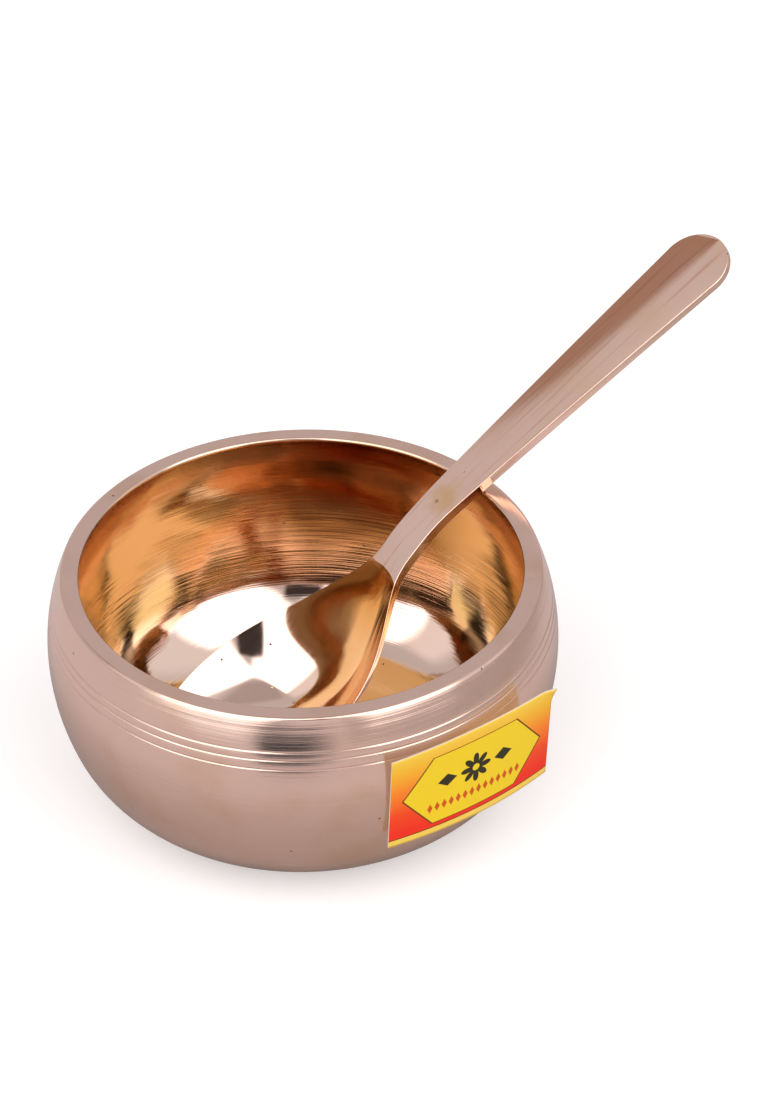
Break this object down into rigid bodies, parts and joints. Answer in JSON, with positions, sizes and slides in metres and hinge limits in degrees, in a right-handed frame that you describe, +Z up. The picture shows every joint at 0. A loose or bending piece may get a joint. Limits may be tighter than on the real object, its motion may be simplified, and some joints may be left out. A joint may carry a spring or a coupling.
{
  "type": "serving bowl with spoon",
  "caption": "Small heavy bronze bowl with an inward-leaning grooved shoulder and a flat rim, for serving food, with a matching spoon leaning in it and a card label on its belly.",
  "frame": {"origin": "centre of the bowl's flat foot, on the table plane", "axes": "+Z up along the bowl's turning axis, -Y towards the front, +X to the right; the spoon's handle leans out to the right and back"},
  "size_m": [0.1372, 0.108, 0.0871],
  "materials": {
    "bowl_bronze": "turned bronze, satin outside and polished inside",
    "spoon_bronze": "polished bronze",
    "label_card": "glossy printed card"
  },
  "bodies": {
    "bowl": {"bowl": "bowl_bronze", "paper_label": "label_card"},
    "spoon": {"spoon": "spoon_bronze"}
  },
  "joints": [
    {"name": "spoon_lift", "type": "slide", "parent": "bowl", "child": "spoon", "axis": [0, 0, 1], "range_m": [0, 0.06]}
  ]
}
